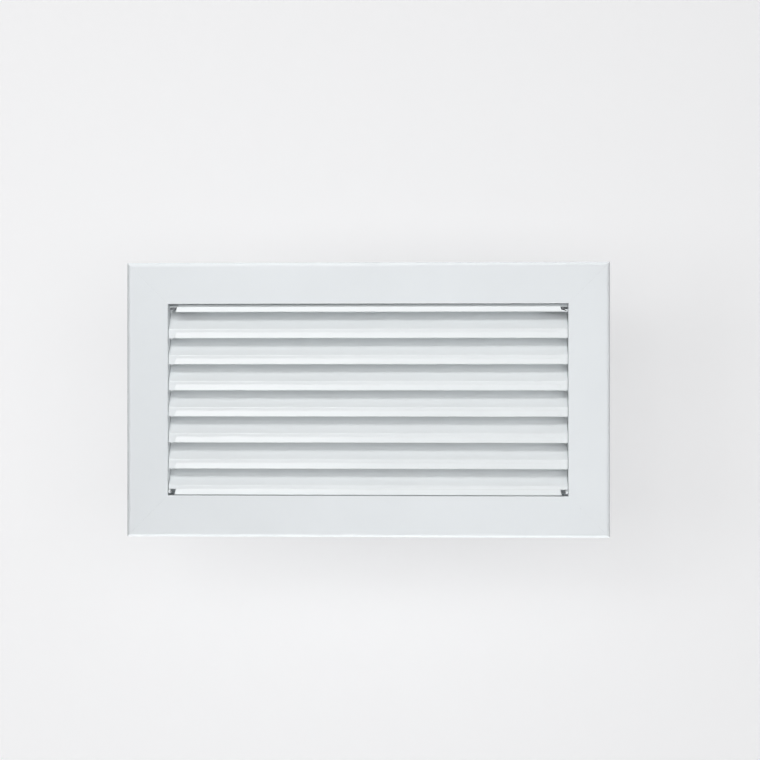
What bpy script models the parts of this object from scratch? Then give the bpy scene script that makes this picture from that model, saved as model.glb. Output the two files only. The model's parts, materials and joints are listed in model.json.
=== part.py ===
"""Louvred return-air grille: a mitred frame that carries a hinged core of fixed louvre blades.

Metres, +Z up. The face looks towards -Y, X is the width, and the origin is the centre of the grille's box.
Section outlines are written in two plain measures: a bar of the frame has "out" (outwards from the edge of
the opening) and "deep" (backwards from the face); a piece of the core has "deep" (backwards from the front
of the noses) and "high" (upwards from the lower edge of the bottom nose).
"""

import math

import bmesh
import bpy
from mathutils import Vector

MM = 0.001

# The frame: overall size, and the section of its four bars.
FACE_WIDTH = 350 * MM
FACE_HEIGHT = 199 * MM
FLANGE = 30 * MM
FRAME_DEPTH = 36 * MM
WALL = 1.3 * MM
RIM_RADIUS = 3 * MM
RIM_DEPTH = 6 * MM
INNER_EDGE_RADIUS = 0.4 * MM
MITRE_GAP = 0.02 * MM
STOP_LIP = 4 * MM

# The channel behind the flange that holds the corner keys.
KEY_CHANNEL_START = 10 * MM
KEY_CHANNEL_END = 20 * MM
KEY_THICKNESS = 1.6 * MM
KEY_ARM = 28 * MM
RIB_WALL = 1.2 * MM
RIB_LIP = 1.2 * MM
RIB_LIP_THICKNESS = 0.9 * MM

# The foam seal behind the flange, and the concealed fixing holes in the neck.
GASKET_START = 21.8 * MM
GASKET_END = 26.6 * MM
GASKET_BACK = 5.9 * MM
FIXING_HOLE_RADIUS = 2.25 * MM
FIXING_HOLE_DEEP = 30 * MM
FIXING_HOLE_OUT_X = 100 * MM

# The core and its louvre blades.
BLADE_COUNT = 7
PITCH = 18.95 * MM
CORE_RECESS = 1.5 * MM
BOTTOM_GAP = 0.45 * MM
TOP_GAP = 0.35 * MM
SIDE_GAP = 0.2 * MM
TOP_NOSE_STEP = 1.6 * MM
STEP_FRONT = 3.4 * MM
NOSE_HEIGHT = 4.3 * MM
NOSE_LEAN = math.radians(12)
NOSE_EDGE_RADIUS = 0.4 * MM
WEB_FRONT = 1.2 * MM
BLADE_THICKNESS = 1.2 * MM
BEND_START = 6.2 * MM
BEND_RADIUS = 1.6 * MM
SLAT_LEAN = math.radians(42)
SLAT_OVERLAP = 1.7 * MM

# Where the noses stop, measured from the sides of the opening. The top nose's left end is cut further and
# right through, and its right end has a slot through the web, so that both catches can be reached.
NOSE_END_TOP = 5.7 * MM
NOSE_END_FOOT = 4.6 * MM
TOP_NOSE_EXTRA_CUT = 0.9 * MM
TAB_SLOT_WIDTH = 4.7 * MM
NOTCH_BITE = 0.1 * MM
HINGE_NOTCH_DEEP = 5 * MM

# The side rails that the blades are staked into.
RAIL_THICKNESS = 1.5 * MM
RAIL_BACK = 18.6 * MM
RAIL_CHAMFER = 3 * MM
TOOTH_FRONT = 10.6 * MM
ARM_FRONT = 9.7 * MM
ARM_BOTTOM_DROP = 0.45 * MM
FOOT_RADIUS = 1.5 * MM
RAIL_DROP = 1.2 * MM
RAIL_LEG_STEP = 12.5 * MM

# The top rail's horizontal leg, which lies a little below the lip on top of the step.
LEG_DROP = 0.75 * MM
LEG_DEPTH = 12.2 * MM
LEG_THICKNESS = 1.2 * MM

# The hinge: pins in the foot of each side rail, bushes in the frame's walls.
PIN_DEEP = 1.6 * MM
PIN_HIGH = 2.3 * MM
PIN_RADIUS = 0.8 * MM
PIN_HEAD_RADIUS = 1.4 * MM
PIN_HEAD = 1.2 * MM
PIN_REACH = 2.9 * MM
RUNNING_CLEARANCE = 0.1 * MM
BUSH_RADIUS = 1.35 * MM
BUSH_COLLAR_RADIUS = 1.7 * MM
BUSH_COLLAR = 0.5 * MM
BUSH_FIT = 0.15 * MM

# The slide catches under the top rail's leg.
CATCH_FRONT = 5.9 * MM
CATCH_BACK = 9.3 * MM
CATCH_THICKNESS = 1.2 * MM
CATCH_DROP = 0.35 * MM
CATCH_TIP_INSET = 0.3 * MM
CATCH_LENGTH = 19 * MM
CATCH_TAB_WIDTH = 1.2 * MM
CATCH_TAB_INSET = 3.1 * MM
CATCH_TAB_FRONT = 0.5 * MM
BRACKET_SHEET = 0.5 * MM
BRACKET_LENGTH = 12 * MM
BRACKET_END_INSET = 6.3 * MM
BRACKET_FLANGE = 1.9 * MM
RIVET_RADIUS = 0.6 * MM
RIVET_HEAD_RADIUS = 0.95 * MM
RIVET_HEAD = 0.3 * MM
RIVET_INSET = 12.5 * MM

CLEARANCE = 0.3 * MM
CLOSE_FIT = 0.1 * MM
ROUND_SEGMENTS = 24
FLAT_SHADING_ANGLE = math.radians(32)

# Values that follow from the ones above.
HALF_WIDTH = FACE_WIDTH / 2 - FLANGE
HALF_HEIGHT = FACE_HEIGHT / 2 - FLANGE
FRONT_Y = -FRAME_DEPTH / 2
CORE_HEIGHT = 2 * HALF_HEIGHT - BOTTOM_GAP - TOP_GAP
CORE_SIDE = HALF_WIDTH - SIDE_GAP
CORE_ORIGIN = Vector((0, FRONT_Y + CORE_RECESS, -HALF_HEIGHT + BOTTOM_GAP))
HINGE_AXIS = CORE_ORIGIN + Vector((0, PIN_DEEP, PIN_HIGH))
TOP_NOSE_FOOT = BLADE_COUNT * PITCH
SLAT_TOP = PITCH + SLAT_OVERLAP
STEP_BACK = STEP_FRONT + LEG_THICKNESS
LEG_TOP = CORE_HEIGHT - LEG_DROP
LEG_UNDERSIDE = LEG_TOP - LEG_THICKNESS
RAIL_TOP = CORE_HEIGHT - RAIL_DROP
CATCH_TOP = LEG_UNDERSIDE - CATCH_DROP
CATCH_BOTTOM = CATCH_TOP - CATCH_THICKNESS
STOP_DEEP = CORE_RECESS + RAIL_BACK + CLEARANCE

# Directions along a slat, upwards and backwards, and square to it, towards the front and up.
ALONG_SLAT = Vector((math.sin(SLAT_LEAN), math.cos(SLAT_LEAN)))
OFF_SLAT = Vector((-math.cos(SLAT_LEAN), math.sin(SLAT_LEAN)))
SLAT_START = Vector((
    WEB_FRONT + BEND_RADIUS * (1 - math.cos(SLAT_LEAN)),
    BEND_START + BEND_RADIUS * math.sin(SLAT_LEAN),
))
SLAT_LENGTH = (SLAT_TOP - SLAT_START.y) / math.cos(SLAT_LEAN)


# ---------------------------------------------------------------- materials

def new_material(name, colour, roughness, metallic):
    """A Principled material with one colour."""
    material = bpy.data.materials.new(name)
    material.use_nodes = True
    shader = material.node_tree.nodes["Principled BSDF"]
    shader.inputs["Base Color"].default_value = (*colour, 1.0)
    shader.inputs["Roughness"].default_value = roughness
    shader.inputs["Metallic"].default_value = metallic
    material.diffuse_color = (*colour, 1.0)
    return material


def white_coat():
    return new_material("white_powder_coat", (0.80, 0.83, 0.85), 0.38, 0.0)


def bare_aluminium():
    return new_material("bare_aluminium", (0.77, 0.78, 0.79), 0.35, 1.0)


def zinc_steel():
    return new_material("zinc_plated_steel", (0.52, 0.53, 0.55), 0.35, 1.0)


def grey_nylon():
    return new_material("grey_nylon", (0.22, 0.23, 0.24), 0.55, 0.0)


def black_foam():
    return new_material("black_foam", (0.035, 0.035, 0.038), 0.95, 0.0)


# ---------------------------------------------------------------- mesh tools

def arc(centre, radius, start_deg, end_deg, steps):
    """Points on an arc, its two ends included."""
    points = []
    for step in range(steps + 1):
        angle = math.radians(start_deg + (end_deg - start_deg) * step / steps)
        points.append((centre[0] + radius * math.cos(angle), centre[1] + radius * math.sin(angle)))
    return points


def extrude_outline(points, offset):
    """A closed bmesh: the flat outline through points, extruded by offset."""
    bm = bmesh.new()
    face = bm.faces.new([bm.verts.new(point) for point in points])
    grown = bmesh.ops.extrude_face_region(bm, geom=[face])
    moved = [item for item in grown["geom"] if isinstance(item, bmesh.types.BMVert)]
    bmesh.ops.translate(bm, vec=offset, verts=moved)
    bmesh.ops.recalc_face_normals(bm, faces=bm.faces)
    return bm


def along_x(section, start, end):
    """A section of (deep, high) points, extruded along X from start to end."""
    return extrude_outline([(start, deep, high) for deep, high in section], (end - start, 0, 0))


def box(low, high):
    """A closed box between two corners."""
    corners = [(low[0], low[1]), (low[0], high[1]), (high[0], high[1]), (high[0], low[1])]
    return extrude_outline([(x, y, low[2]) for x, y in corners], (0, 0, high[2] - low[2]))


def turned_about_x(profile):
    """A closed profile of (along, radius) points, turned round the X axis."""
    bm = bmesh.new()
    verts = [bm.verts.new((along, 0, radius)) for along, radius in profile]
    edges = [bm.edges.new((a, b)) for a, b in zip(verts, verts[1:])]
    if profile[0][1] > 0:
        edges.append(bm.edges.new((verts[-1], verts[0])))
    bmesh.ops.spin(
        bm, geom=verts + edges, cent=(0, 0, 0), axis=(1, 0, 0), dvec=(0, 0, 0),
        angle=math.tau, steps=ROUND_SEGMENTS, use_merge=True,
    )
    bmesh.ops.remove_doubles(bm, verts=bm.verts, dist=0.001 * MM)
    bmesh.ops.recalc_face_normals(bm, faces=bm.faces)
    return bm


def to_mesh(bm, name):
    """The bmesh as a mesh, smooth over its curves and sharp at its edges."""
    mesh = bpy.data.meshes.new(name)
    bm.to_mesh(mesh)
    bm.free()
    mesh.shade_smooth()
    mesh.set_sharp_from_angle(angle=FLAT_SHADING_ANGLE)
    return mesh


def add_object(name, mesh, material, place, parent=None, turn=0.0):
    """Links an object at a world place, turned about Y, under a parent that is itself not turned."""
    item = bpy.data.objects.new(name, mesh)
    bpy.context.scene.collection.objects.link(item)
    if material is not None:
        mesh.materials.clear()
        mesh.materials.append(material)
    item.parent = parent
    item.location = Vector(place) - (world_place(parent) if parent else Vector((0, 0, 0)))
    item.rotation_euler = (0, turn, 0)
    return item


def world_place(item):
    """The world place of an object whose parents are all moved but not turned."""
    place = item.location.copy()
    while item.parent is not None:
        item = item.parent
        place += item.location
    return place


def add_cutter(name, bm, place=(0, 0, 0)):
    """A tool for a Boolean cut: it is not a piece of the grille."""
    cutter = add_object(name, to_mesh(bm, name), None, place)
    cutter.hide_render = True
    cutter.display_type = "WIRE"
    return cutter


def cut(item, cutter):
    """Cuts one object out of another."""
    modifier = item.modifiers.new("cut_" + cutter.name, "BOOLEAN")
    modifier.operation = "DIFFERENCE"
    modifier.solver = "EXACT"
    modifier.object = cutter


def add_axis(name, place, parent=None):
    """An empty that stands on a joint's axis and carries the pieces that move with it."""
    axis = add_object(name, None, None, place, parent)
    axis.empty_display_size = 10 * MM
    return axis


def rod_cutter(name, radius, start, end):
    """A round cutter from start to end, which lie along one world axis."""
    start, end = Vector(start), Vector(end)
    bm = bmesh.new()
    bmesh.ops.create_cone(
        bm, cap_ends=True, segments=ROUND_SEGMENTS, radius1=radius, radius2=radius,
        depth=(end - start).length,
    )
    turn = Vector((0, 0, 1)).rotation_difference(end - start).to_matrix()
    bmesh.ops.rotate(bm, cent=(0, 0, 0), matrix=turn, verts=bm.verts)
    return add_cutter(name, bm, (start + end) / 2)


# ---------------------------------------------------------------- the frame

def frame_section():
    """The frame bar's outline, as (out, deep) points: flange, rounded rim, key channel, neck, stop lip."""
    rim_centre = (FLANGE - RIM_RADIUS, RIM_RADIUS)
    rib_top = WALL + CLEARANCE + KEY_THICKNESS + CLEARANCE
    rib_end = rib_top + RIB_LIP_THICKNESS
    points = arc((INNER_EDGE_RADIUS, INNER_EDGE_RADIUS), INNER_EDGE_RADIUS, 180, 270, 4)
    points += arc(rim_centre, RIM_RADIUS, 270, 360, 10)
    points += [(FLANGE, RIM_DEPTH), (FLANGE - WALL, RIM_DEPTH)]
    points += arc(rim_centre, RIM_RADIUS - WALL, 360, 270, 6)
    points += key_rib(KEY_CHANNEL_END, 1, rib_top, rib_end)
    points += reversed(key_rib(KEY_CHANNEL_START, -1, rib_top, rib_end))
    points += [(WALL, WALL), (WALL, FRAME_DEPTH), (0, FRAME_DEPTH)]
    points += [(0, STOP_DEEP + WALL), (-STOP_LIP, STOP_DEEP + WALL), (-STOP_LIP, STOP_DEEP), (0, STOP_DEEP)]
    return points


def key_rib(start, side, rib_top, rib_end):
    """One L-shaped rib of the key channel; side is +1 for the outer rib and -1 for the inner one."""
    return [
        (start + side * RIB_WALL, WALL),
        (start + side * RIB_WALL, rib_end),
        (start - side * RIB_LIP, rib_end),
        (start - side * RIB_LIP, rib_top),
        (start, rib_top),
        (start, WALL),
    ]


def mitred_bar(section, half_opening):
    """A bar along X whose ends are cut at 45 degrees, so each point reaches half_opening plus its out."""
    bm = extrude_outline([(-1, deep, out) for out, deep in section], (2, 0, 0))
    for vert in bm.verts:
        reach = half_opening + vert.co.z - MITRE_GAP
        vert.co.x = math.copysign(reach, vert.co.x)
    return bm


def bar_places():
    """Name, half length of the opening's side, place and turn of the four sides of the frame."""
    return (
        ("top", HALF_WIDTH, (0, FRONT_Y, HALF_HEIGHT), 0.0),
        ("bottom", HALF_WIDTH, (0, FRONT_Y, -HALF_HEIGHT), math.pi),
        ("left", HALF_HEIGHT, (-HALF_WIDTH, FRONT_Y, 0), -math.pi / 2),
        ("right", HALF_HEIGHT, (HALF_WIDTH, FRONT_Y, 0), math.pi / 2),
    )


def build_frame(coat):
    """The four mitred bars, with the holes for the hinge, the catches and the fixing screws."""
    bars = {}
    for side, half_opening, place, turn in bar_places():
        mesh = to_mesh(mitred_bar(frame_section(), half_opening), "frame_" + side)
        bars[side] = add_object("frame_" + side, mesh, coat, place, turn=turn)
    past_wall = HALF_WIDTH + 2 * WALL
    hinge_hole = rod_cutter(
        "hinge_hole_cutter", BUSH_RADIUS + BUSH_FIT,
        (-past_wall, HINGE_AXIS.y, HINGE_AXIS.z), (past_wall, HINGE_AXIS.y, HINGE_AXIS.z),
    )
    strike_slot = add_cutter("strike_slot_cutter", box(
        (-past_wall, CATCH_FRONT - CLEARANCE, CATCH_BOTTOM - CLEARANCE),
        (past_wall, CATCH_BACK + CLEARANCE, CATCH_TOP + CLEARANCE),
    ), CORE_ORIGIN)
    for side in ("left", "right"):
        cut(bars[side], hinge_hole)
        cut(bars[side], strike_slot)
    for hand, x in (("left", -FIXING_HOLE_OUT_X), ("right", FIXING_HOLE_OUT_X)):
        y = FRONT_Y + FIXING_HOLE_DEEP
        reach = HALF_HEIGHT + 2 * WALL
        hole = rod_cutter(f"fixing_hole_cutter_{hand}", FIXING_HOLE_RADIUS, (x, y, -reach), (x, y, reach))
        cut(bars["top"], hole)
        cut(bars["bottom"], hole)


def build_corner_keys(metal):
    """An L-shaped key in the channel behind each corner of the frame."""
    low = KEY_CHANNEL_START + CLEARANCE
    high = KEY_CHANNEL_END - CLEARANCE
    outline = [(high, high), (high, -KEY_ARM), (low, -KEY_ARM), (low, low), (-KEY_ARM, low), (-KEY_ARM, high)]
    for level, up in (("top", 1), ("bottom", -1)):
        for hand, across in (("left", -1), ("right", 1)):
            points = [(across * x, 0, up * z) for x, z in outline]
            name = f"corner_key_{level}_{hand}"
            mesh = to_mesh(extrude_outline(points, (0, KEY_THICKNESS, 0)), name)
            corner = (across * HALF_WIDTH, FRONT_Y + WALL + CLEARANCE, up * HALF_HEIGHT)
            add_object(name, mesh, metal, corner)


def build_gasket(foam):
    """A strip of foam behind each side of the flange, between the key channel and the rim."""
    section = [
        (GASKET_START, WALL + CLEARANCE), (GASKET_END, WALL + CLEARANCE),
        (GASKET_END, GASKET_BACK), (GASKET_START, GASKET_BACK),
    ]
    for side, half_opening, place, turn in bar_places():
        name = "gasket_strip_" + side
        add_object(name, to_mesh(mitred_bar(section, half_opening), name), foam, place, turn=turn)


def build_hinge_bushes(nylon):
    """A collared bush in each side wall, which the hinge pin turns in."""
    bore = PIN_RADIUS + RUNNING_CLEARANCE
    collar_start = WALL + CLOSE_FIT
    for hand, across in (("left", -1), ("right", 1)):
        profile = [
            (0, bore), (0, BUSH_RADIUS), (collar_start, BUSH_RADIUS), (collar_start, BUSH_COLLAR_RADIUS),
            (collar_start + BUSH_COLLAR, BUSH_COLLAR_RADIUS), (collar_start + BUSH_COLLAR, bore),
        ]
        name = "hinge_bush_" + hand
        mesh = to_mesh(turned_about_x([(across * x, radius) for x, radius in profile]), name)
        add_object(name, mesh, nylon, (across * HALF_WIDTH, HINGE_AXIS.y, HINGE_AXIS.z))


# ---------------------------------------------------------------- the core

def blade_section():
    """A louvre blade's outline, as (deep, high) points: nose, web, bend and slat."""
    nose_top = NOSE_HEIGHT * math.tan(NOSE_LEAN)
    radius = NOSE_EDGE_RADIUS
    half = BLADE_THICKNESS / 2
    lean = math.degrees(SLAT_LEAN)
    bend_centre = (WEB_FRONT + BEND_RADIUS, BEND_START)
    end_centre = SLAT_START + ALONG_SLAT * (SLAT_LENGTH - half) - OFF_SLAT * half
    points = arc((radius, radius), radius, 270, 180 + math.degrees(NOSE_LEAN), 4)
    points += [(nose_top, NOSE_HEIGHT), (WEB_FRONT, NOSE_HEIGHT)]
    points += arc(bend_centre, BEND_RADIUS, 180, 180 - lean, 8)
    points += arc(end_centre, half, 180 - lean, -lean, 6)
    points += arc(bend_centre, BEND_RADIUS - BLADE_THICKNESS, 180 - lean, 180, 8)
    points += [(WEB_FRONT + BLADE_THICKNESS, 0)]
    return points


def nose_end_cutter(name, deep, reach, hands=(-1, 1), extra=0.0):
    """A slanted cut at the ends of a nose, from below its foot up to reach and back to deep."""
    top = HALF_WIDTH - NOSE_END_TOP - extra
    foot = HALF_WIDTH - NOSE_END_FOOT - extra
    below = -1 * MM
    slope = (top - foot) / NOSE_HEIGHT
    outline = [(foot + slope * below, below), (foot + slope * reach, reach), (HALF_WIDTH, reach), (HALF_WIDTH, below)]
    bm = bmesh.new()
    scratch = bpy.data.meshes.new(name + "_half")
    for across in hands:
        points = [(across * x, -1 * MM, z) for x, z in outline]
        half = extrude_outline(points, (0, 1 * MM + deep, 0))
        half.to_mesh(scratch)
        half.free()
        bm.from_mesh(scratch)
    bpy.data.meshes.remove(scratch)
    return add_cutter(name, bm)


def cut_mesh(name, bm, cutters):
    """The mesh that is left when the cutters have cut the bmesh."""
    item = add_object(name, to_mesh(bm, name), None, (0, 0, 0))
    for cutter in cutters:
        cut(item, cutter)
    bpy.context.view_layer.update()
    mesh = bpy.data.meshes.new_from_object(item.evaluated_get(bpy.context.evaluated_depsgraph_get()))
    mesh.name = name
    for used in [item, *cutters]:
        bpy.data.objects.remove(used)
    return mesh


def build_blades(coat, core):
    """Seven blades on one pitch; the lowest has deeper end notches, which clear the hinge."""
    for number in range(1, BLADE_COUNT + 1):
        name = f"louvre_blade_{number}"
        cutters = [nose_end_cutter("nose_end_cutter", WEB_FRONT + NOTCH_BITE, NOSE_HEIGHT + NOTCH_BITE)]
        if number == BLADE_COUNT:
            over_foot = PIN_HIGH + FOOT_RADIUS + CLEARANCE
            cutters.append(nose_end_cutter("hinge_notch_cutter", HINGE_NOTCH_DEEP, over_foot))
        mesh = cut_mesh(name, along_x(blade_section(), -CORE_SIDE, CORE_SIDE), cutters)
        rise = Vector((0, 0, (BLADE_COUNT - number) * PITCH))
        add_object(name, mesh, coat, CORE_ORIGIN + rise, core)


def build_top_rail(coat, core):
    """The rail above the blades: a nose like theirs, a step with a lip above it and a flat leg behind."""
    height = CORE_HEIGHT - TOP_NOSE_FOOT
    nose_high = height - TOP_NOSE_STEP
    radius = NOSE_EDGE_RADIUS
    leg_top = LEG_TOP - TOP_NOSE_FOOT
    leg_under = leg_top - LEG_THICKNESS
    web_back = WEB_FRONT + BLADE_THICKNESS
    section = arc((radius, radius), radius, 270, 180 + math.degrees(NOSE_LEAN), 4)
    section += [
        (nose_high * math.tan(NOSE_LEAN), nose_high), (STEP_FRONT, nose_high), (STEP_FRONT, height),
        (STEP_BACK, height), (STEP_BACK, leg_top), (LEG_DEPTH, leg_top), (LEG_DEPTH, leg_under),
        (STEP_BACK, leg_under), (STEP_BACK, nose_high - LEG_THICKNESS),
        (web_back, nose_high - LEG_THICKNESS), (web_back, 0),
    ]
    over = height + 1 * MM
    through = STEP_BACK + CLEARANCE
    left_cutter = nose_end_cutter("top_left_cutter", through, over, (-1,), TOP_NOSE_EXTRA_CUT)
    right_cutter = nose_end_cutter("top_right_cutter", WEB_FRONT + NOTCH_BITE, over, (1,))
    tab_slot = add_cutter("tab_slot_cutter", box(
        (CORE_SIDE - TAB_SLOT_WIDTH, 0, CATCH_BOTTOM - CLEARANCE - TOP_NOSE_FOOT),
        (HALF_WIDTH, through, leg_under),
    ))
    mesh = cut_mesh("top_rail", along_x(section, -CORE_SIDE, CORE_SIDE), [left_cutter, right_cutter, tab_slot])
    return add_object("top_rail", mesh, coat, CORE_ORIGIN + Vector((0, 0, TOP_NOSE_FOOT)), core)


def on_slat_line(deep, offset, foot):
    """The point at a depth on the line that runs along a slat, offset forwards from its front face."""
    start = SLAT_START + OFF_SLAT * offset
    return (deep, foot + start.y + (deep - start.x) / math.tan(SLAT_LEAN))


def slot_points(foot, first):
    """The slot for one slat, from its upper side round its end to its lower side at the teeth's tips."""
    back = SLAT_LENGTH + CLEARANCE
    upper = SLAT_START + OFF_SLAT * CLEARANCE + ALONG_SLAT * back
    lower = SLAT_START - OFF_SLAT * (BLADE_THICKNESS + CLEARANCE) + ALONG_SLAT * back
    return [
        first,
        (upper.x, foot + upper.y),
        (lower.x, foot + lower.y),
        on_slat_line(TOOTH_FRONT, -BLADE_THICKNESS - CLEARANCE, foot),
    ]


def rail_section():
    """A side rail's outline, as (deep, high) points: foot, spine, arm and a slot for each slat."""
    foot_low = PIN_HIGH - FOOT_RADIUS
    foot_high = PIN_HIGH + FOOT_RADIUS
    arm_low = TOP_NOSE_FOOT - ARM_BOTTOM_DROP
    arm_high = LEG_UNDERSIDE - CLEARANCE
    points = [
        (RAIL_BACK, foot_low),
        (RAIL_BACK, RAIL_TOP - RAIL_CHAMFER),
        (RAIL_BACK - RAIL_CHAMFER, RAIL_TOP),
        (RAIL_LEG_STEP, RAIL_TOP),
        (RAIL_LEG_STEP, arm_high),
        (ARM_FRONT, arm_high),
        (ARM_FRONT, arm_low),
    ]
    for number in range(1, BLADE_COUNT + 1):
        foot = (BLADE_COUNT - number) * PITCH
        if number == 1:
            high_there = on_slat_line(0, CLEARANCE, foot)[1]
            first = ((arm_low - high_there) * math.tan(SLAT_LEAN), arm_low)
        else:
            first = on_slat_line(TOOTH_FRONT, CLEARANCE, foot)
        points += slot_points(foot, first)
    points += [(TOOTH_FRONT, foot_high)]
    points += arc((PIN_DEEP, PIN_HIGH), FOOT_RADIUS, 90, 270, 12)
    return points


def build_side_rails(coat, core):
    """A toothed rail at each end of the blades, with a foot that holds the hinge pin."""
    reach = 2 * CORE_SIDE
    pin_hole = rod_cutter(
        "pin_hole_cutter", PIN_RADIUS + CLOSE_FIT,
        HINGE_AXIS - Vector((reach, 0, 0)), HINGE_AXIS + Vector((reach, 0, 0)),
    )
    for hand, across in (("left", -1), ("right", 1)):
        name = "side_rail_" + hand
        bm = along_x(rail_section(), across * (CORE_SIDE - RAIL_THICKNESS), across * CORE_SIDE)
        cut(add_object(name, to_mesh(bm, name), coat, CORE_ORIGIN, core), pin_hole)


def build_hinge_pins(steel, core):
    """A headed pin through each side rail's foot, out through the bush in the frame."""
    head_end = CORE_SIDE - RAIL_THICKNESS - CLOSE_FIT
    for hand, across in (("left", -1), ("right", 1)):
        profile = [
            (head_end - PIN_HEAD, 0), (head_end - PIN_HEAD, PIN_HEAD_RADIUS), (head_end, PIN_HEAD_RADIUS),
            (head_end, PIN_RADIUS), (HALF_WIDTH + PIN_REACH, PIN_RADIUS), (HALF_WIDTH + PIN_REACH, 0),
        ]
        name = "hinge_pin_" + hand
        mesh = to_mesh(turned_about_x([(across * x, radius) for x, radius in profile]), name)
        add_object(name, mesh, steel, HINGE_AXIS, core)


# ---------------------------------------------------------------- the catches

def catch_bolt(across):
    """A flat bolt with a thumb tab that comes forward through the notch beside the top nose."""
    tip = CORE_SIDE - CATCH_TIP_INSET
    tab_end = CORE_SIDE - CATCH_TAB_INSET
    tab_start = tab_end - CATCH_TAB_WIDTH
    outline = [
        (tip, CATCH_FRONT), (tip, CATCH_BACK), (tip - CATCH_LENGTH, CATCH_BACK), (tip - CATCH_LENGTH, CATCH_FRONT),
        (tab_start, CATCH_FRONT), (tab_start, CATCH_TAB_FRONT), (tab_end, CATCH_TAB_FRONT), (tab_end, CATCH_FRONT),
    ]
    points = [(across * x, deep, CATCH_BOTTOM) for x, deep in outline]
    return extrude_outline(points, (0, 0, CATCH_THICKNESS))


def catch_bracket_section():
    """The bracket's outline: a channel round the bolt, with a rear flange under the top rail's leg."""
    front = CATCH_FRONT - CLEARANCE - BRACKET_SHEET
    back = CATCH_BACK + CLEARANCE + BRACKET_SHEET
    low = CATCH_BOTTOM - CLEARANCE - BRACKET_SHEET
    top = LEG_UNDERSIDE - CLEARANCE
    return [
        (front, low), (back, low), (back, top - BRACKET_SHEET), (back + BRACKET_FLANGE, top - BRACKET_SHEET),
        (back + BRACKET_FLANGE, top), (back - BRACKET_SHEET, top), (back - BRACKET_SHEET, low + BRACKET_SHEET),
        (front + BRACKET_SHEET, low + BRACKET_SHEET), (front + BRACKET_SHEET, top), (front, top),
    ]


def build_catches(nylon, metal, core, top_rail):
    """A slide catch at each end of the top rail: bracket, bolt and the rivet that holds the bracket."""
    rivet_deep = CATCH_BACK + CLEARANCE + BRACKET_SHEET + BRACKET_FLANGE / 2
    for hand, across in (("left", -1), ("right", 1)):
        rivet_x = across * (CORE_SIDE - RIVET_INSET)
        rivet_place = CORE_ORIGIN + Vector((rivet_x, rivet_deep, 0))
        hole = rod_cutter(
            "rivet_hole_cutter_" + hand, RIVET_RADIUS + CLOSE_FIT,
            rivet_place + Vector((0, 0, CATCH_BOTTOM)), rivet_place + Vector((0, 0, CORE_HEIGHT + 1 * MM)),
        )
        outer = across * (CORE_SIDE - BRACKET_END_INSET)
        bm = along_x(catch_bracket_section(), outer - across * BRACKET_LENGTH, outer)
        name = "catch_bracket_" + hand
        bracket = add_object(name, to_mesh(bm, name), metal, CORE_ORIGIN, core)
        cut(bracket, hole)
        cut(top_rail, hole)
        add_rivet("catch_rivet_" + hand, metal, rivet_place, core)
        axis = add_axis("catch_axis_" + hand, CORE_ORIGIN + Vector((
            across * CORE_SIDE, (CATCH_FRONT + CATCH_BACK) / 2, CATCH_BOTTOM)), core)
        bolt_mesh = to_mesh(catch_bolt(across), "catch_bolt_" + hand)
        add_object("catch_bolt_" + hand, bolt_mesh, nylon, CORE_ORIGIN, axis)


def add_rivet(name, metal, place, core):
    """A rivet through the top rail's leg and the bracket's flange, with a head on both ends."""
    flange_under = LEG_UNDERSIDE - CLEARANCE - BRACKET_SHEET - CLOSE_FIT
    leg_top = LEG_TOP + CLOSE_FIT
    profile = [
        (flange_under - RIVET_HEAD, 0), (flange_under - RIVET_HEAD, RIVET_HEAD_RADIUS),
        (flange_under, RIVET_HEAD_RADIUS), (flange_under, RIVET_RADIUS), (leg_top, RIVET_RADIUS),
        (leg_top, RIVET_HEAD_RADIUS), (leg_top + RIVET_HEAD, RIVET_HEAD_RADIUS), (leg_top + RIVET_HEAD, 0),
    ]
    mesh = to_mesh(turned_about_x(profile), name)
    add_object(name, mesh, metal, place, core, turn=-math.pi / 2)


# ---------------------------------------------------------------- the whole grille

def main():
    for item in list(bpy.data.objects):
        bpy.data.objects.remove(item)
    coat = white_coat()
    metal = bare_aluminium()
    nylon = grey_nylon()
    build_frame(coat)
    build_corner_keys(metal)
    build_gasket(black_foam())
    build_hinge_bushes(nylon)
    core = add_axis("core_hinge_axis", HINGE_AXIS)
    build_blades(coat, core)
    top_rail = build_top_rail(coat, core)
    build_side_rails(coat, core)
    build_hinge_pins(zinc_steel(), core)
    build_catches(nylon, metal, core, top_rail)


main()
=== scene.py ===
"""Looks for the louvred air grille: fine surfaces, materials, studio light and camera.

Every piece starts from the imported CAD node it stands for, so it has the CAD's place and size.
Metres, +Z up, the grille's face towards -Y.
"""

import json
import math

import bmesh
import bpy
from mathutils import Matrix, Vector


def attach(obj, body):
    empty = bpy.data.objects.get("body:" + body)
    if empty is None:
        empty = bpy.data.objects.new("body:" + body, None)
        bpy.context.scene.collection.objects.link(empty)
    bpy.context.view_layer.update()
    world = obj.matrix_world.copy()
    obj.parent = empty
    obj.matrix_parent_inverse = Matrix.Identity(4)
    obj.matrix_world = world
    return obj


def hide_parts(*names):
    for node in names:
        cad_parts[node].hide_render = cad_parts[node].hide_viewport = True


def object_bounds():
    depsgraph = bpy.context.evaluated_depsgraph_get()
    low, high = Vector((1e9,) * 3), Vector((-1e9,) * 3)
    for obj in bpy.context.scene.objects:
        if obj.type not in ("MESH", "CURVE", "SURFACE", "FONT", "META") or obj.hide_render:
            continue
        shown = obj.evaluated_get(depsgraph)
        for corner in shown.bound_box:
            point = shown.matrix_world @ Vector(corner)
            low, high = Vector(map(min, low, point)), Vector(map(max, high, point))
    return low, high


MM = 0.001

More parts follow.
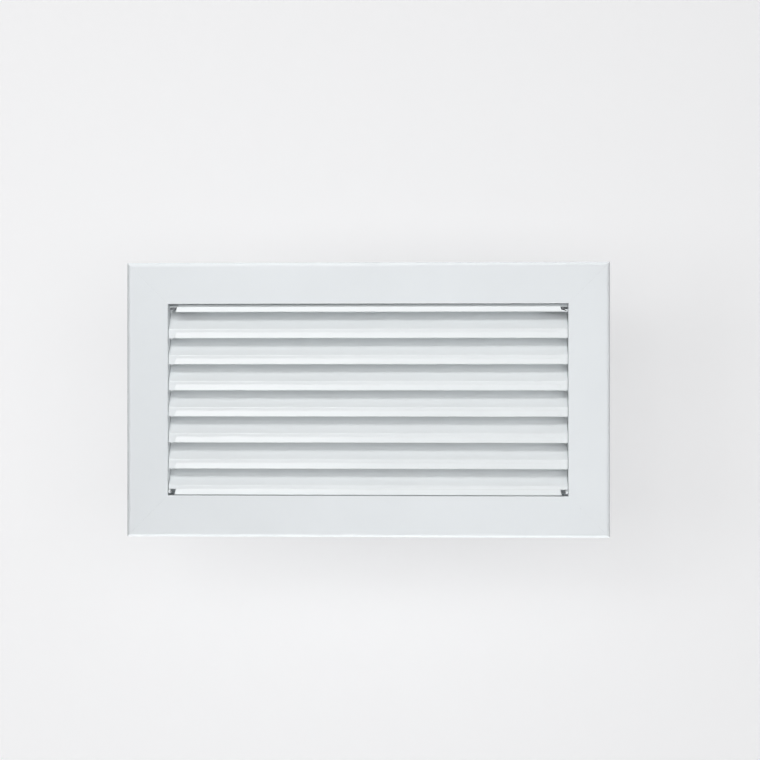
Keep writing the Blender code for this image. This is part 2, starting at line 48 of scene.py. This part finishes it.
# How far each material's edges are rounded. The frame's are nearly sharp, so that its mitres show no groove.
EDGE_ROUNDING = {
    "frame_coat": 0.015 * MM,
    "blade_coat": 0.12 * MM,
    "bare_aluminium": 0.08 * MM,
    "zinc_steel": 0.08 * MM,
    "nylon": 0.08 * MM,
    "foam": 0.015 * MM,
}
ROUNDING_SEGMENTS = 2
SHARP_ANGLE = math.radians(33)
FLAT_ANGLE = math.radians(0.4)
WELD_DISTANCE = 0.002 * MM
FLAT_FACE_WEIGHT = 80

# The two powder coats: the blades' is glossier than the frame's. It is also a little lighter, which is
# painted light standing in for the extra light the slats catch.
FRAME_COAT = (0.75, 0.78, 0.80)
FRAME_COAT_ROUGHNESS = 0.24
BLADE_COAT_PAINTED_LIGHTER = (0.77, 0.80, 0.812)
BLADE_COAT_ROUGHNESS = 0.21

# Camera: its distance from the face, how far round to the right of the face's normal it stands, how wide the
# picture is at the face, and how far the picture's centre lies from the face's.
CAMERA_DISTANCE = 1.17
CAMERA_YAW = math.radians(2.2)
PICTURE_WIDTH_AT_FACE = 0.5495
AIM_RIGHT = 9.3 * MM
AIM_UP = 14.3 * MM
SENSOR_WIDTH = 36.0

# Paper: a wall that bends into a floor.
WALL_BEHIND_FACE = 0.15
WALL_TOP = 2.2
FLOOR_BELOW = 0.55
FLOOR_REACH = 4.0
BEND_RADIUS = 0.25
BEND_STEPS = 16
PAPER_HALF_WIDTH = 2.5
PAPER_GLOW = 1.09

# The surround: its strength as a light, its strength as the camera sees it, and its colour.
WORLD_LIGHT = 0.03
WORLD_SEEN = 0.85
WORLD_COLOUR = (0.98, 0.99, 1.0)

# Soft boxes: name, azimuth and elevation in degrees, distance, width and height, power in watts.
# Azimuth 0 is straight in front of the face, and it grows to the right. The rim boxes graze the flange's rim
# from above and below, and the duct box, low behind the grille, lightens the shadows between its slats.
GENERAL_BOXES = (
    ("key_softbox", -20, 19, 1.3, 0.45, 0.35, 1.9),
    ("front_fill", 9, 4, 1.5, 1.4, 0.9, 7.7),
    ("side_fill", 40, 5, 1.3, 0.6, 0.8, 1.1),
)
GLOSS_BOXES = (
    ("nose_gloss_left", -14, 24, 1.4, 0.42, 0.34, 1.6),
    ("nose_gloss_right", 4, 30, 1.4, 0.42, 0.20, 0.6),
)
GRILLE_BOXES = (
    ("top_softbox", -8, 43, 1.3, 0.9, 0.4, 8.3),
    ("low_fill", 14, -38, 0.7, 0.6, 0.3, 1.4),
    ("rim_above", 180, 82, 0.6, 1.0, 0.1, 2.2),
    ("rim_below", 180, -82, 0.6, 1.0, 0.1, 4.5),
    ("back_softbox", 180, 15, 1.5, 1.4, 0.9, 8.0),
    ("duct_softbox", 180, -22, 1.2, 1.0, 0.7, 10.0),
)
PAPER_BOXES = (
    ("paper_softbox", -42, 4, 1.5, 0.7, 0.7, 6.5),
)

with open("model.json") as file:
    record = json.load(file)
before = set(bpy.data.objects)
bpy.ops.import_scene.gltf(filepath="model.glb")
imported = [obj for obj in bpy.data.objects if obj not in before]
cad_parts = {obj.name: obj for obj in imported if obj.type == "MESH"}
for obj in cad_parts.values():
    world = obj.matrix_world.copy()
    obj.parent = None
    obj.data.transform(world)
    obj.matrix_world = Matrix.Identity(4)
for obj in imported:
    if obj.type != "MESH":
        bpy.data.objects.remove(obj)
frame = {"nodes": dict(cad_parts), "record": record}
cad_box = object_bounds()


# ---------------------------------------------------------------- materials

class Shader:
    """A small helper that builds the node tree of one material."""

    def __init__(self, name):
        self.material = bpy.data.materials.new(name)
        self.material.use_nodes = True
        self.tree = self.material.node_tree
        self.tree.nodes.clear()
        self.output = self.node("ShaderNodeOutputMaterial")
        self.surface = self.node("ShaderNodeBsdfPrincipled")
        self.link(self.surface, "BSDF", self.output, "Surface")
        self.place = self.node("ShaderNodeTexCoord")

    def node(self, kind, **settings):
        made = self.tree.nodes.new(kind)
        for key, value in settings.items():
            setattr(made, key, value)
        return made

    def link(self, source, out, target, into):
        self.tree.links.new(source.outputs[out], target.inputs[into])

    def stretched(self, scale):
        """Object coordinates, scaled differently along X, Y and Z."""
        mapping = self.node("ShaderNodeMapping")
        mapping.inputs["Scale"].default_value = scale
        self.link(self.place, "Object", mapping, "Vector")
        return mapping

    def noise(self, scale, detail=3.0, roughness=0.5, vector=None):
        """Noise over the object's own coordinates, or over a mapping node's."""
        made = self.node("ShaderNodeTexNoise")
        made.inputs["Scale"].default_value = scale
        made.inputs["Detail"].default_value = detail
        made.inputs["Roughness"].default_value = roughness
        if vector is None:
            self.link(self.place, "Object", made, "Vector")
        else:
            self.link(vector, "Vector", made, "Vector")
        return made

    def ramp(self, source, out, stops):
        """Colours between stops of (position, colour)."""
        made = self.node("ShaderNodeValToRGB")
        elements = made.color_ramp.elements
        while len(elements) < len(stops):
            elements.new(0.5)
        for element, (position, colour) in zip(elements, stops):
            element.position = position
            element.color = (*colour, 1.0)
        self.link(source, out, made, "Fac")
        return made

    def spread(self, source, out, low, high):
        """The source's 0 to 1 as a value from low to high."""
        made = self.node("ShaderNodeMapRange")
        made.inputs["To Min"].default_value = low
        made.inputs["To Max"].default_value = high
        self.link(source, out, made, "Value")
        return made

    def bump(self, source, out, height, strength, under=None):
        """A bump of that height in metres, on top of the bump under it if there is one."""
        made = self.node("ShaderNodeBump")
        made.inputs["Distance"].default_value = height
        made.inputs["Strength"].default_value = strength
        self.link(source, out, made, "Height")
        if under is not None:
            self.link(under, "Normal", made, "Normal")
        return made

    def finish(self, tone, gloss, relief):
        """Tone, roughness and bump nodes go to the surface, and the material is done."""
        self.link(tone, "Color", self.surface, "Base Color")
        self.link(gloss, "Result", self.surface, "Roughness")
        self.link(relief, "Normal", self.surface, "Normal")
        return self.material


def powder_coat(name, colour, roughness):
    """Satin powder coat: fine orange peel over slow waves, with faint changes of tone and gloss."""
    shader = Shader(name)
    slow = shader.noise(scale=14.0, detail=4.0, roughness=0.55)
    fine = shader.noise(scale=1500.0, detail=2.0)
    peel = shader.noise(scale=420.0, roughness=0.55)
    slightly_darker = tuple(channel * 0.975 for channel in colour)
    tone = shader.ramp(slow, "Fac", [(0.35, slightly_darker), (0.65, colour)])
    gloss = shader.spread(peel, "Fac", low=roughness - 0.04, high=roughness + 0.05)
    coarse_relief = shader.bump(peel, "Fac", height=0.012 * MM, strength=0.7)
    relief = shader.bump(fine, "Fac", height=0.003 * MM, strength=0.5, under=coarse_relief)
    return shader.finish(tone, gloss, relief)


def mill_aluminium(name):
    """Bare extruded aluminium with fine die lines along X."""
    shader = Shader(name)
    along_x = shader.stretched((12.0, 900.0, 900.0))
    lines = shader.noise(scale=1.0, detail=4.0, roughness=0.6, vector=along_x)
    blotch = shader.noise(scale=60.0)
    tone = shader.ramp(blotch, "Fac", [(0.3, (0.66, 0.67, 0.69)), (0.7, (0.80, 0.81, 0.82))])
    shader.surface.inputs["Metallic"].default_value = 1.0
    gloss = shader.spread(lines, "Fac", low=0.28, high=0.48)
    relief = shader.bump(lines, "Fac", height=0.01 * MM, strength=0.6)
    return shader.finish(tone, gloss, relief)


def zinc_steel(name):
    """Zinc-plated steel: brushed along X, with a slightly blue and yellow passivation."""
    shader = Shader(name)
    along_x = shader.stretched((60.0, 2600.0, 2600.0))
    brushed = shader.noise(scale=1.0, detail=4.0, roughness=0.6, vector=along_x)
    blotch = shader.noise(scale=260.0)
    blue, grey, yellow = (0.40, 0.42, 0.45), (0.55, 0.56, 0.57), (0.58, 0.55, 0.49)
    tone = shader.ramp(blotch, "Fac", [(0.3, blue), (0.55, grey), (0.8, yellow)])
    shader.surface.inputs["Metallic"].default_value = 1.0
    gloss = shader.spread(brushed, "Fac", low=0.25, high=0.45)
    relief = shader.bump(brushed, "Fac", height=0.006 * MM, strength=0.6)
    return shader.finish(tone, gloss, relief)


def nylon_dark_as_painted_shade(name):
    """Moulded nylon with a fine matte grain. Its dark grey is painted shade, which darkens the corner
    hollows where the catch bolts show.
    """
    shader = Shader(name)
    grain = shader.noise(scale=2200.0)
    slow = shader.noise(scale=300.0, detail=2.0)
    # Dark grey tones: painted shade for the corner hollows.
    tone = shader.ramp(slow, "Fac", [(0.3, (0.19, 0.20, 0.21)), (0.7, (0.25, 0.26, 0.27))])
    gloss = shader.spread(grain, "Fac", low=0.45, high=0.65)
    relief = shader.bump(grain, "Fac", height=0.01 * MM, strength=0.5)
    return shader.finish(tone, gloss, relief)


def black_foam(name):
    """Open-cell foam: a Voronoi of small pores."""
    shader = Shader(name)
    pores = shader.node("ShaderNodeTexVoronoi")
    pores.inputs["Scale"].default_value = 1400.0
    shader.link(shader.place, "Object", pores, "Vector")
    tone = shader.ramp(pores, "Distance", [(0.1, (0.012, 0.012, 0.014)), (0.6, (0.055, 0.055, 0.06))])
    shader.link(tone, "Color", shader.surface, "Base Color")
    shader.surface.inputs["Roughness"].default_value = 0.95
    shader.link(shader.bump(pores, "Distance", 0.25 * MM, 0.9), "Normal", shader.surface, "Normal")
    return shader.material


def backdrop_paper(name):
    """Plain pale studio paper with a faint tooth. It can't be seen from behind and casts no shadow."""
    shader = Shader(name)
    tooth = shader.noise(scale=700.0)
    tone = shader.ramp(tooth, "Fac", [(0.3, (0.49, 0.49, 0.495)), (0.7, (0.51, 0.51, 0.515))])
    shader.link(tone, "Color", shader.surface, "Base Color")
    shader.link(tone, "Color", shader.surface, "Emission Color")
    ray = shader.node("ShaderNodeLightPath")
    glow = shader.spread(ray, "Is Camera Ray", low=0.0, high=PAPER_GLOW)
    shader.link(glow, "Result", shader.surface, "Emission Strength")
    shader.surface.inputs["Roughness"].default_value = 0.9
    side = shader.node("ShaderNodeNewGeometry")
    either = shader.node("ShaderNodeMath", operation="MAXIMUM")
    shader.link(side, "Backfacing", either, 0)
    shader.link(ray, "Is Shadow Ray", either, 1)
    clear = shader.node("ShaderNodeBsdfTransparent")
    mixed = shader.node("ShaderNodeMixShader")
    shader.link(either, "Value", mixed, "Fac")
    shader.link(shader.surface, "BSDF", mixed, 1)
    shader.link(clear, "BSDF", mixed, 2)
    shader.link(mixed, "Shader", shader.output, "Surface")
    return shader.material


# ---------------------------------------------------------------- pieces

def refined(node, body, edge_radius, material):
    """A fine copy of a CAD node: welded, its flat faces joined, its sharp edges rounded, shaded smooth."""
    source = frame["nodes"][node]
    bm = bmesh.new()
    bm.from_mesh(source.data)
    bmesh.ops.remove_doubles(bm, verts=bm.verts, dist=WELD_DISTANCE)
    bmesh.ops.dissolve_limit(bm, angle_limit=FLAT_ANGLE, verts=bm.verts, edges=bm.edges)
    mesh = bpy.data.meshes.new(node + "_fine")
    bm.to_mesh(mesh)
    bm.free()
    stored = mesh.attributes.get("custom_normal")
    if stored is not None:
        mesh.attributes.remove(stored)
    piece = bpy.data.objects.new(node + "_fine", mesh)
    bpy.context.scene.collection.objects.link(piece)
    bevel = piece.modifiers.new("rounded_edges", "BEVEL")
    bevel.width = edge_radius
    bevel.segments = ROUNDING_SEGMENTS
    bevel.limit_method = "ANGLE"
    bevel.angle_limit = SHARP_ANGLE
    weighted = piece.modifiers.new("flat_faces_stay_flat", "WEIGHTED_NORMAL")
    weighted.weight = FLAT_FACE_WEIGHT
    mesh.shade_smooth()
    mesh.materials.append(material)
    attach(piece, body)
    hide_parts(node)
    return piece


def dress(materials):
    """Every CAD node gets its fine piece, which comes back in one collection."""
    grille = bpy.data.collections.new("grille")
    slots = {row["node"]: row["material_slot"] for row in frame["record"]["subparts"]}
    for body, members in frame["record"]["behaviour"]["bodies"].items():
        for node in members:
            slot = slots[node]
            piece = refined(node, body, EDGE_ROUNDING[slot], materials[slot])
            grille.objects.link(piece)
    return grille


# ---------------------------------------------------------------- studio

def face_centre():
    low, high = cad_box
    return Vector(((low[0] + high[0]) / 2, low[1], (low[2] + high[2]) / 2))


def add_backdrop(material):
    """One sheet of paper: a wall behind the grille that bends into a floor. Returned as a collection."""
    wall = face_centre().y + WALL_BEHIND_FACE
    profile = [(wall, WALL_TOP), (wall, BEND_RADIUS - FLOOR_BELOW)]
    for step in range(1, BEND_STEPS + 1):
        angle = math.pi / 2 * step / BEND_STEPS
        forward = BEND_RADIUS * (1 - math.cos(angle))
        above_floor = BEND_RADIUS * (1 - math.sin(angle))
        profile.append((wall - forward, above_floor - FLOOR_BELOW))
    profile.append((wall - FLOOR_REACH, -FLOOR_BELOW))
    bm = bmesh.new()
    left, right = [
        [bm.verts.new((x, y, z)) for y, z in profile] for x in (-PAPER_HALF_WIDTH, PAPER_HALF_WIDTH)]
    for index in range(len(profile) - 1):
        bm.faces.new((left[index], left[index + 1], right[index + 1], right[index]))
    mesh = bpy.data.meshes.new("backdrop")
    bm.to_mesh(mesh)
    bm.free()
    mesh.shade_smooth()
    mesh.materials.append(material)
    sheet = bpy.data.objects.new("backdrop", mesh)
    bpy.context.scene.collection.objects.link(sheet)
    paper = bpy.data.collections.new("paper")
    paper.objects.link(sheet)
    return paper


def add_softbox(name, azimuth, elevation, distance, width, height, power):
    """A soft rectangular light that looks at the face's centre."""
    light = bpy.data.lights.new(name, "AREA")
    light.shape = "RECTANGLE"
    light.size = width
    light.size_y = height
    light.energy = power
    lamp = bpy.data.objects.new(name, light)
    bpy.context.scene.collection.objects.link(lamp)
    across = math.radians(azimuth)
    up = math.radians(elevation)
    away = Vector((math.sin(across) * math.cos(up), -math.cos(across) * math.cos(up), math.sin(up)))
    lamp.location = face_centre() + away * distance
    lamp.rotation_euler = (-away).to_track_quat("-Z", "Y").to_euler()
    return lamp


def add_lights(grille, paper):
    """Boxes for everything, boxes that show only as highlights, and boxes that reach one collection each."""
    for box in GENERAL_BOXES:
        add_softbox(*box).visible_glossy = False
    for box in GLOSS_BOXES:
        add_softbox(*box).visible_diffuse = False
    for receiver, boxes in ((grille, GRILLE_BOXES), (paper, PAPER_BOXES)):
        for box in boxes:
            lamp = add_softbox(*box)
            lamp.visible_glossy = False
            lamp.light_linking.receiver_collection = receiver


def add_world():
    """A pale surround that the camera sees as bright, though it gives only a faint light."""
    world = bpy.data.worlds.new("studio")
    bpy.context.scene.world = world
    world.use_nodes = True
    nodes, links = world.node_tree.nodes, world.node_tree.links
    background = nodes["Background"]
    background.inputs["Color"].default_value = (*WORLD_COLOUR, 1)
    ray = nodes.new("ShaderNodeLightPath")
    strength = nodes.new("ShaderNodeMapRange")
    strength.inputs["To Min"].default_value = WORLD_LIGHT
    strength.inputs["To Max"].default_value = WORLD_SEEN
    links.new(ray.outputs["Is Camera Ray"], strength.inputs["Value"])
    links.new(strength.outputs["Result"], background.inputs["Strength"])


def add_camera():
    """The camera stands a little to the right of the face's normal and looks level."""
    data = bpy.data.cameras.new("camera")
    data.sensor_width = SENSOR_WIDTH
    data.lens = SENSOR_WIDTH * CAMERA_DISTANCE / PICTURE_WIDTH_AT_FACE
    camera = bpy.data.objects.new("camera", data)
    bpy.context.scene.collection.objects.link(camera)
    forward = Vector((-math.sin(CAMERA_YAW), math.cos(CAMERA_YAW), 0))
    right = Vector((math.cos(CAMERA_YAW), math.sin(CAMERA_YAW), 0))
    aim = face_centre() + right * AIM_RIGHT + Vector((0, 0, AIM_UP))
    camera.location = aim - forward * CAMERA_DISTANCE
    camera.rotation_euler = forward.to_track_quat("-Z", "Y").to_euler()
    bpy.context.scene.camera = camera


def main():
    grille = dress({
        "frame_coat": powder_coat("frame_coat_fine", FRAME_COAT, FRAME_COAT_ROUGHNESS),
        "blade_coat": powder_coat("blade_coat_fine", BLADE_COAT_PAINTED_LIGHTER, BLADE_COAT_ROUGHNESS),
        "bare_aluminium": mill_aluminium("bare_aluminium_fine"),
        "zinc_steel": zinc_steel("zinc_steel_fine"),
        # The nylon's dark grey is painted shade for the corner hollows.
        "nylon": nylon_dark_as_painted_shade("nylon_dark_as_painted_shade_fine"),
        "foam": black_foam("black_foam_fine"),
    })
    paper = add_backdrop(backdrop_paper("backdrop_paper"))
    add_lights(grille, paper)
    add_world()
    add_camera()
    bpy.context.scene.view_settings.view_transform = "Standard"


main()
